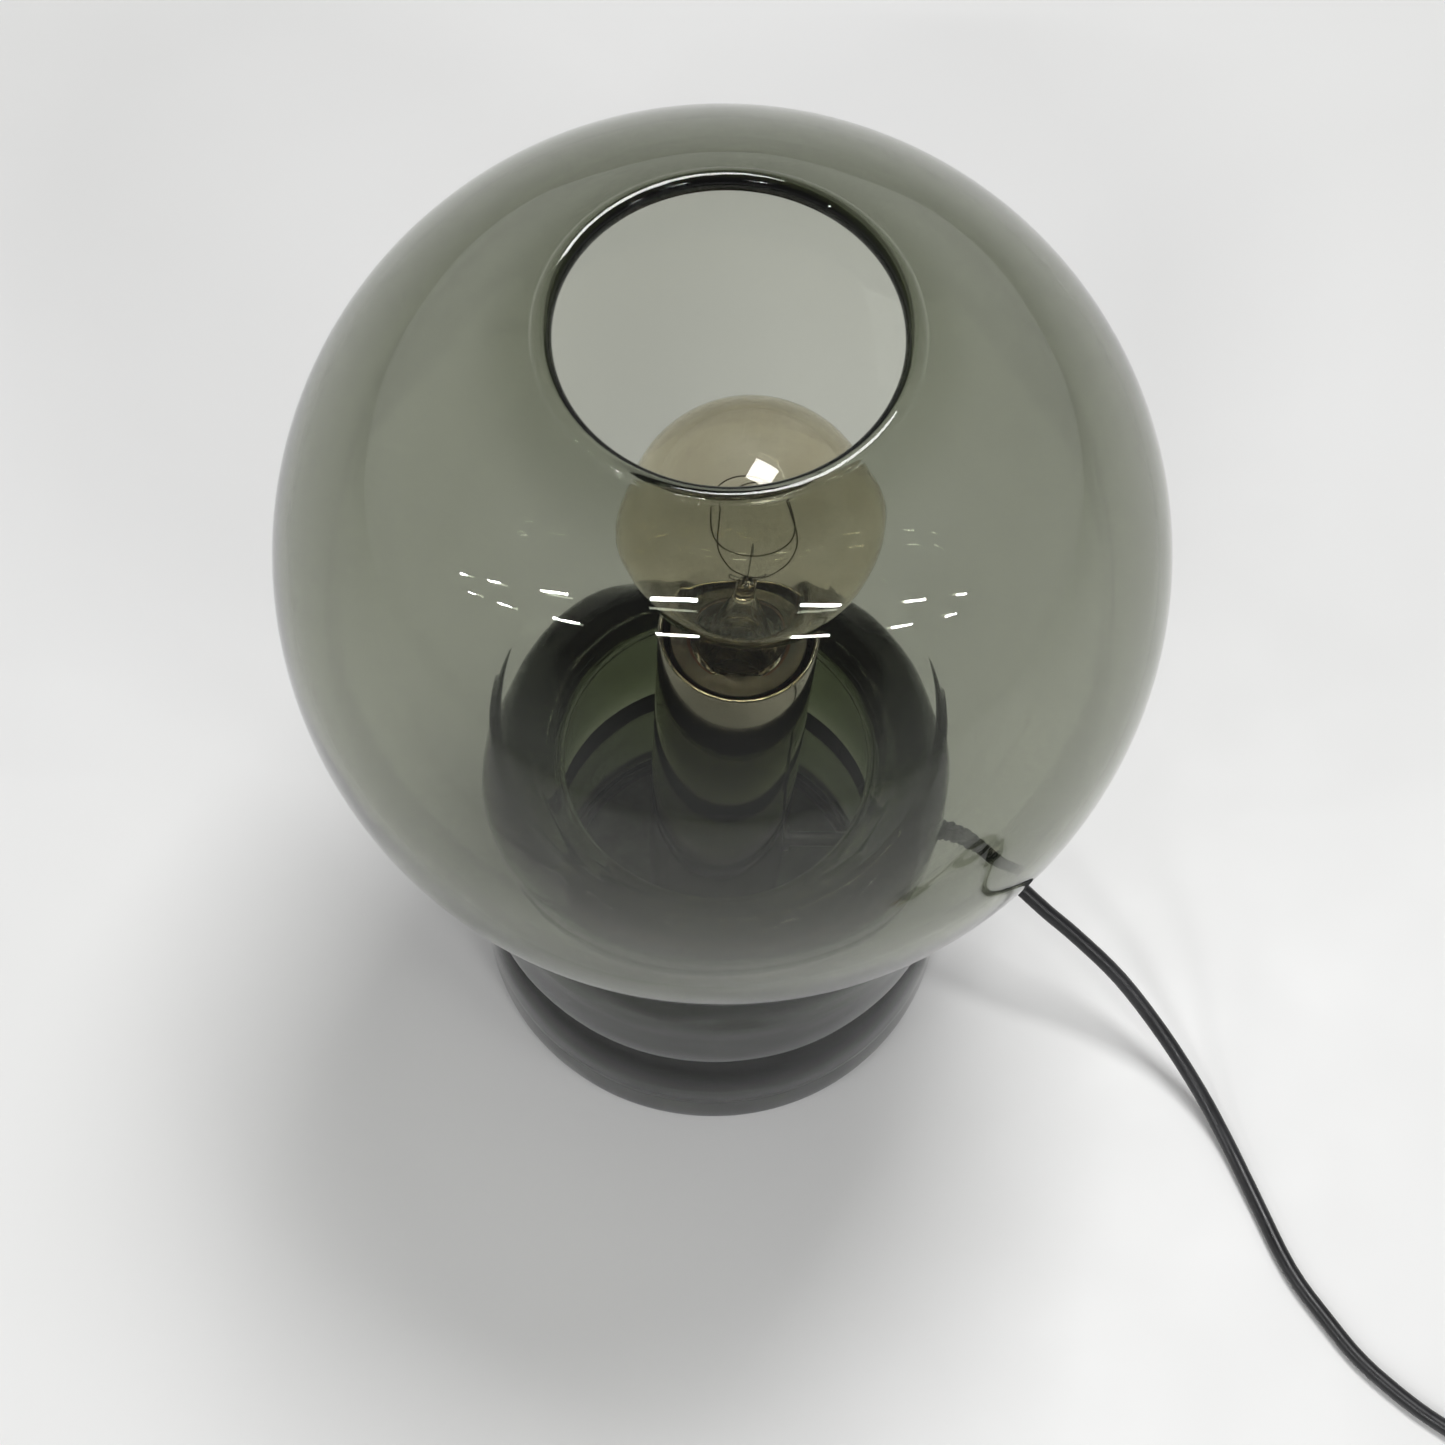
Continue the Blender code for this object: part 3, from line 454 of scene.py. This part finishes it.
def make_base():
    upper_tier = [(61.7, 143.9), (63.2, 145.0), (71.6, 143.2), (81.0, 136.3), (87.0, 125.5), (89.1, 112.0),
                  (89.1, 91.7), (88.7, 74.2), (87.0, 65.4), (83.0, 60.7), (81.0, 58.0)]
    lower_tier = [(83.0, 55.3), (86.4, 48.5), (88.4, 37.7), (88.7, 24.2), (88.7, 9.4), (88.0, 2.6), (85.7, 0.0)]
    bore = [(BORE_RADIUS + BORE_CHAMFER, 0.0)]
    for ring in range(BORE_RINGS + 1):
        bore.append((BORE_RADIUS, BORE_CHAMFER + (BORE_TOP_Z - BORE_CHAMFER) * ring / BORE_RINGS))
    profile = smooth_profile(upper_tier + lower_tier, 6) + bore

    def press_waves(angle, r, z):
        """The pressed outside ripples slightly, most of all round the shoulder of the upper tier."""
        if r < BORE_RADIUS + 3 or z < 1:
            return 0.0
        spot = Vector((math.cos(angle) * 5.0, math.sin(angle) * 5.0, z / 9.0))
        shoulder = math.exp(-((z - 118.0) / 14.0) ** 2)
        return (0.10 + 0.35 * shoulder) * noise.noise(spot)

    mesh = lathe_mesh("base", profile, 192, wobble=press_waves)
    piece = add_piece("base_of_smoked_glass", mesh, SMOKED_THICK, "lamp", ["glass_base"])
    rod = [(0, DRILL_REACH), (CORD_HOLE_RADIUS, DRILL_REACH), (CORD_HOLE_RADIUS, -DRILL_REACH), (0, -DRILL_REACH)]
    drill_mesh = lathe_mesh("drill", rod, 48, closed=False)
    drill = bpy.data.objects.new("drill", drill_mesh)
    SCENE.collection.objects.link(drill)
    hole_centre = Matrix.Translation((DRILL_CENTRE_X * MM, 0, CORD_HOLE_Z * MM))
    drill.matrix_world = hole_centre @ Matrix.Rotation(math.pi / 2, 4, "Y")
    hole = piece.modifiers.new("Cord hole", "BOOLEAN")
    hole.object = drill
    bpy.context.view_layer.update()
    graph = bpy.context.evaluated_depsgraph_get()
    cut = bpy.data.meshes.new_from_object(piece.evaluated_get(graph))
    piece.modifiers.clear()
    piece.data = cut
    bpy.data.objects.remove(drill, do_unlink=True)
    return piece


# ---- column, holder and foot --------------------------------------------------------------------

def add_turned(name, profile, steps, mat, body, replaced, place=None, closed=True):
    mesh = lathe_mesh(name, profile, steps, closed)
    return add_piece(name, mesh, mat, body, replaced, place)


def make_column():
    half_wall = TUBE_WALL / 2
    edge = arc(TUBE_RADIUS - half_wall, TUBE_TOP - half_wall, half_wall, 180, 0, 9)
    profile = edge + [(TUBE_RADIUS, TUBE_TOP - 60), (TUBE_RADIUS, TUBE_TOP - 150), (TUBE_RADIUS, TUBE_FOOT),
                      (TUBE_RADIUS - TUBE_WALL, TUBE_FOOT)]
    add_turned("tube_of_chrome", profile, 128, CHROME, "lamp", ["chrome_tube"], COLUMN)


def make_trim_ring():
    """The grey plate on the holder: a round opening with one straight side to the front."""
    shape = bmesh.new()
    outer_r = 22.2
    opening = 17.0
    chord = 14.6
    corner = math.asin(chord / opening)
    steps = 96
    low = 235.6
    high = 237.1
    bevel = 0.3
    rings = []
    for radius, z in ((outer_r - bevel, high), (outer_r, high - bevel), (outer_r, low), (None, low), (None, high)):
        ring = []
        for step in range(steps):
            angle = 2 * math.pi * step / steps
            r = radius
            if r is None:
                dip = -math.sin(angle)
                r = min(opening, chord / dip) if dip > math.sin(corner) * 0.999 else opening
            ring.append(shape.verts.new((r * MM * math.cos(angle), r * MM * math.sin(angle), z * MM)))
        rings.append(ring)
    for index in range(len(rings)):
        here = rings[index]
        there = rings[(index + 1) % len(rings)]
        for step in range(steps):
            after = (step + 1) % steps
            shape.faces.new((here[step], there[step], there[after], here[after]))
    bmesh.ops.recalc_face_normals(shape, faces=shape.faces)
    mesh = bpy.data.meshes.new("trim_plate")
    shape.to_mesh(mesh)
    shape.free()
    add_piece("trim_plate", mesh, DULL_STEEL, "lamp", ["trim_ring"], COLUMN)


def make_holder():
    body = [(15.6, 235.0)] + arc(20.3, 233.8, 1.2, 90, 0, 6)
    body += [(21.5, 188.0), (19.1, 188.0), (19.1, 192.6), (15.6, 195.0)]
    add_turned("holder_barrel", body, 96, BAKELITE, "lamp", ["holder_body"], COLUMN)
    shell = [(14.6, 229.5), (14.2, 228.9)]
    for turn in range(8):
        crest = 226.0 - SOCKET_PITCH * turn
        shell += [(14.35, crest), (13.95, crest - SOCKET_PITCH / 2)]
    shell += [(14.3, 195.4), (13.7, 195.4), (13.65, 228.8), (14.0, 229.6)]
    add_turned("holder_thread", shell, 96, NICKEL, "lamp", ["screw_shell"], COLUMN)


def make_foot():
    plate = [(0, 4.8), (56.6, 4.8), (57.4, 4.2), (57.4, 2.3), (0, 2.3)]
    # The plate's colour carries painted shade: it is darkened to how it looks deep in the shaded bore.
    add_turned("foot_plate", plate, 128, PLATE_PAINT_WITH_SHADE, "lamp", ["mounting_plate"], closed=False)
    gasket = arc(59.25, 5.6, 1.45, 0, 180, 9) + [(57.8, 1.5), (60.7, 1.5)]
    add_turned("plate_gasket", gasket, 128, RUBBER, "lamp", ["edge_gasket"])


# ---- bulb ---------------------------------------------------------------------------------------

def make_bulb():
    def face(radius, inset):
        ball = arc(0, BULB_CENTRE_S, radius, 90, -44, 40)
        ball[0] = (0, BULB_CENTRE_S + radius)
        neck = [(20.6, 271.6), (17.8, 259.0), (16.6, 248.0), (16.2, 241.5), (14.2, 238.0), (13.1, 231.0),
                (12.3, 226.0), (12.3, 219.5)]
        return ball[:-1] + smooth_profile([ball[-1]] + [(r - inset, s) for r, s in neck], 6)

    outer = face(BULB_RADIUS, 0.0)
    inner = face(BULB_RADIUS - BULB_WALL, BULB_WALL)
    add_turned("bulb_envelope", outer + inner[::-1], 128, BULB_GLASS, "bulb", ["bulb_glass"],
               COLUMN, closed=False)
    flare = [(2.8, 283.6), (3.2, 281.0), (3.4, 270.0), (5.6, 260.0), (8.2, 248.0), (10.6, 236.0), (11.4, 231.0)]
    outside = smooth_profile(flare, 5)
    inside = [(max(r - 0.9, 0.0), s - 0.3) for r, s in outside if s < 268]
    stem = [(0, STEM_TOP_S)] + outside + inside[::-1] + [(0, 269.0)]
    add_turned("bulb_stem_flare", stem, 64, STEM_GLASS, "bulb", ["bulb_stem"], COLUMN, closed=False)
    cap = [(13.1, 226.2), (13.15, 223.6)]
    for turn in range(5):
        crest = 221.4 - SOCKET_PITCH * turn
        cap += [(12.5, crest + SOCKET_PITCH / 2), (12.85, crest + SOCKET_PITCH / 4), (13.2, crest),
                (12.85, crest - SOCKET_PITCH / 4)]
    cap += [(12.3, 204.9), (10.4, 203.5), (9.6, 203.9), (11.7, 206.0), (11.7, 218.4), (12.65, 218.9),
            (12.65, 226.2)]
    add_turned("bulb_screw_cap", cap, 96, NICKEL, "bulb", ["bulb_cap"], COLUMN)


def filament_point(fraction):
    """A loose loop that climbs from one lead wire and comes down to the other."""
    lift = math.sin(math.pi * fraction)
    angle = math.pi + 2 * math.pi * FILAMENT_TURNS * fraction
    radius = 5.0 + 6.6 * min(1.0, 1.5 * lift) + 1.7 * math.cos(math.pi * fraction) * min(1.0, 2.0 * lift)
    return (radius * math.cos(angle), radius * math.sin(angle), FILAMENT_LOW_S + FILAMENT_RISE * lift)


def make_filament():
    line = [filament_point(step / FILAMENT_STEPS) for step in range(FILAMENT_STEPS + 1)]
    add_curve("carbon_filament", line, 0.22, CARBON, "bulb", ["filament"], resolution=2,
              place=COLUMN)
    for side, node in ((-1, "lead_wire_left"), (1, "lead_wire_right")):
        lead = [(2.6 * side, 0, 262.0), (1.9 * side, 0, 274.0), (1.7 * side, 0, 284.0), (1.9 * side, 0, 286.5),
                (4.2 * side, 0, 288.6), (5.0 * side, 0, 289.7)]
        add_curve(node + "_drawn", smooth_line(lead, 6), 0.3, STEEL, "bulb", [node], resolution=2,
                  place=COLUMN)
    hook = [(0, 0, 280.0), (0, 0, 300.0), (0, -1.5, 312.0), (0, -5.5, 318.5), (0, -10.8, 321.4)]
    add_curve("filament_hook", smooth_line(hook, 6), 0.25, STEEL, "bulb", ["filament_anchor"],
              resolution=2, place=COLUMN)


# ---- cord ---------------------------------------------------------------------------------------

INNER_ROUTE = [(56.6, 0, 64.0), (44.0, 0, 64.0), (27.0, 0, 64.0), (18.5, 0, 65.6), (10.5, 0, 71.5),
               (5.2, 0, 82.0), (3.2, 0, 98.0), (3.3, 0, 125.0), (4.2, 0, 158.0), (4.6, 0, 176.9)]

BOOT_ROUTE = [(57.0, 0, 64.0), (59.6, 0, 64.0), (60.4, 0, 64.0), (88.5, 0, 64.0), (96.0, -1.2, 63.6),
              (103.5, -4.0, 62.6), (110.5, -8.0, 60.4)]
BOOT_RADII = [6.4, 6.4, 4.5, 4.5, 4.2, 3.7, 3.2]

RUN_TO_SWITCH = [(110.8, -8.2, 60.3), (118.0, -13.5, 57.2), (127.0, -19.3, 51.8), (138.0, -25.5, 45.0),
                 (156.0, -38.0, 34.0), (174.0, -55.0, 20.0), (189.0, -74.0, 9.5), (199.5, -92.0, 4.2),
                 (209.0, -113.0, 3.05), (221.0, -140.0, 3.05), (234.0, -159.0, 3.05),
                 (246.0, -174.0, 3.05), (262.0, -188.0, 3.05), (275.0, -197.0, 3.05),
                 (287.0, -204.5, 4.0), (300.0, -212.7, 8.0), (312.4, -220.6, 9.85)]

RUN_TO_COIL = [(363.6, -253.4, 9.85), (370.5, -258.0, 8.9), (377.0, -262.5, 6.8), (382.6, -266.5, 5.3)]

TAIL_TO_PLUG = [(352.8, -348.0, 8.6), (344.0, -349.0, 5.8), (333.0, -349.8, 3.9), (322.0, -349.9, 4.4),
                (312.6, -349.6, 6.3)]


def soft_step(value, start, width):
    """0 before start, 1 after start + width, and a soft step between."""
    t = min(1.0, max(0.0, (value - start) / width))
    return t * t * (3 - 2 * t)


def coil_points():
    """About three turns inward on the floor, then about two and a half outward again on top of them."""
    turns = COIL_SWEEP_DEG / 360.0
    count = round(turns * COIL_POINTS_PER_TURN)
    points = []
    for index in range(1, count):
        turn = turns * index / count
        inward = soft_step(turn, 0.75, 0.25) + soft_step(turn, 1.75, 0.25)
        outward = soft_step(turn, 3.75, 0.25) + soft_step(turn, 4.75, 0.25)
        radius = COIL_MEAN_RADIUS + CORD_DIAMETER * (1 - inward + outward)
        height = COIL_BOTTOM + CORD_DIAMETER * (0.5 + soft_step(turn, 2.72, 0.28))
        angle = math.radians(COIL_ENTRY_DEG) - 2 * math.pi * turn
        points.append((COIL_CENTRE[0] + radius * math.cos(angle), COIL_CENTRE[1] + radius * math.sin(angle),
                       height))
    return points


def make_boot():
    """The strain relief: a collar inside the base, then a taper with a groove cut round it at each rib."""
    fine = []
    radii = []
    for index in range(len(BOOT_ROUTE) - 1):
        start = Vector(BOOT_ROUTE[index])
        end = Vector(BOOT_ROUTE[index + 1])
        steps = max(1, round((end - start).length / BOOT_STEP))
        for step in range(steps):
            t = step / steps
            point = start.lerp(end, t)
            radius = BOOT_RADII[index] * (1 - t) + BOOT_RADII[index + 1] * t
            in_groove = point.x > RIB_START_X and (point.x - RIB_START_X) % RIB_PITCH < RIB_GROOVE_WIDTH
            fine.append(point)
            radii.append(radius - RIB_GROOVE_DEPTH if in_groove else radius)
    fine.append(Vector(BOOT_ROUTE[-1]))
    radii.append(BOOT_RADII[-1])
    add_curve("cord_strain_relief", fine, 1.0, RUBBER, "lamp", ["cord_boot"], radii=radii)


def make_cord():
    route = RUN_TO_SWITCH + RUN_TO_COIL + coil_points() + TAIL_TO_PLUG
    line = smooth_line(route, 4)
    cord = add_curve("mains_cord", line, CORD_DIAMETER / 2, CORD_BLACK, "lamp",
                     ["cord_to_switch", "cord_to_coil", "cord_coil", "cord_to_plug"])
    add_curve("cord_inside_base", smooth_line(INNER_ROUTE, 8), CORD_DIAMETER / 2, CORD_BLACK, "lamp",
              ["cord_inner"])
    make_boot()


# ---- finish of the CAD nodes that stay ----------------------------------------------------------

def paint_cad_nodes():
    finishes = {
        "felt_pad": FELT, "foot_washer": RUBBER, "foot_boss": STEEL, "plate_screw_1": STEEL,
        "plate_screw_2": STEEL, "plate_screw_3": STEEL, "tube_grommet": RUBBER, "holder_plate": STEEL,
        "holder_nipple": BRASS, "lower_nut": STEEL, "upper_nut": STEEL, "holder_cap": BAKELITE,
        "holder_insert": PORCELAIN, "centre_contact": BRASS, "side_contact": BRASS,
        "terminal_screw_live": BRASS, "terminal_screw_neutral": BRASS, "core_live": CORE_BROWN,
        "core_neutral": CORE_BLUE, "bulb_cap_insulator": CAP_GLASS, "bulb_centre_contact": TIN,
        "cord_tie": RUBBER, "switch_lower_shell": GLOSS_BLACK, "switch_upper_shell": GLOSS_BLACK,
        "switch_rocker": CREAM, "rocker_pin": STEEL, "switch_screw_1": STEEL, "switch_screw_2": STEEL,
        "plug_body": GLOSS_BLACK, "plug_sleeve": RUBBER, "plug_pin_left": BRASS, "plug_pin_right": BRASS,
    }
    for node, mat in finishes.items():
        mesh = frame["nodes"][node].data
        mesh.materials.clear()
        mesh.materials.append(mat)


SMOKED = make_smoked_glass("smoked_glass", (0.41, 0.437, 0.31), 195.0, 0.0002)
SMOKED_THICK = make_smoked_glass("smoked_glass_thick", (0.40, 0.45, 0.28), 105.0, 0.0003)
BULB_GLASS = make_bulb_glass()
STEM_GLASS = make_smoked_glass("stem_glass", (0.80, 0.72, 0.55), 120.0, 0.0002)
CAP_GLASS = make_surface("cap_glass", (0.01, 0.01, 0.012), (0.03, 0.03, 0.03), (0.08, 0.2))
CHROME = make_surface("chrome", (0.33, 0.295, 0.24), (0.47, 0.43, 0.36), (0.03, 0.07), 1.0, 60.0)
STEEL = make_surface("steel", (0.50, 0.50, 0.49), (0.60, 0.60, 0.58), (0.25, 0.4), 1.0, 500.0, 0.00002)
DULL_STEEL = make_surface("dull_steel", (0.11, 0.10, 0.08), (0.17, 0.155, 0.125), (0.35, 0.55), 0.7, 400.0,
                          0.00003)
NICKEL = make_surface("nickel", (0.60, 0.55, 0.44), (0.70, 0.66, 0.56), (0.2, 0.35), 1.0, 300.0)
BRASS = make_surface("brass", (0.66, 0.47, 0.19), (0.76, 0.58, 0.27), (0.2, 0.35), 1.0, 300.0)
TIN = make_surface("tin", (0.50, 0.50, 0.50), (0.64, 0.64, 0.64), (0.4, 0.6), 1.0, 500.0, 0.00005)
CARBON = make_surface("carbon", (0.03, 0.027, 0.025), (0.07, 0.06, 0.05), (0.5, 0.7), 0.0, 900.0)
BAKELITE = make_surface("bakelite", (0.11, 0.035, 0.02), (0.2, 0.07, 0.035), (0.25, 0.4), 0.0, 250.0)
PORCELAIN = make_surface("porcelain", (0.80, 0.78, 0.72), (0.88, 0.86, 0.81), (0.15, 0.3), 0.0, 150.0)
# The foot plate's colour holds painted shade: it is darkened to how the plate looks deep in the shaded bore, far
# darker than its own grey paint.
PLATE_PAINT_WITH_SHADE = make_surface("plate_paint_with_painted_shade", (0.07, 0.072, 0.055), (0.12, 0.122, 0.10), (0.5, 0.7), 0.0, 700.0,
                           0.00004)
RUBBER = make_surface("rubber", (0.012, 0.012, 0.013), (0.028, 0.028, 0.03), (0.45, 0.65), 0.0, 600.0, 0.00003)
FELT = make_surface("felt", (0.04, 0.055, 0.035), (0.08, 0.10, 0.065), (0.9, 1.0), 0.0, 1500.0, 0.0003,
                    sheen=0.4)
CORD_BLACK = make_surface("cord_black", (0.010, 0.010, 0.011), (0.022, 0.022, 0.024), (0.28, 0.42), 0.0, 250.0,
                          0.00003)
GLOSS_BLACK = make_surface("gloss_black", (0.010, 0.010, 0.010), (0.02, 0.02, 0.02), (0.12, 0.25), 0.0, 200.0)
CREAM = make_surface("cream", (0.72, 0.67, 0.54), (0.80, 0.76, 0.64), (0.2, 0.35), 0.0, 200.0)
CORE_BROWN = make_surface("core_brown", (0.16, 0.06, 0.02), (0.22, 0.09, 0.04), (0.35, 0.5))
CORE_BLUE = make_surface("core_blue", (0.02, 0.08, 0.25), (0.04, 0.12, 0.34), (0.35, 0.5))
FLOOR = make_surface("pale_floor", (0.83, 0.83, 0.82), (0.86, 0.86, 0.855), (0.45, 0.6), 0.0, 20.0)

make_camera()
make_floor(FLOOR)
make_lights()
make_cord()
make_globe()
make_base()
make_column()
make_trim_ring()
make_holder()
make_foot()
make_bulb()
make_filament()
paint_cad_nodes()
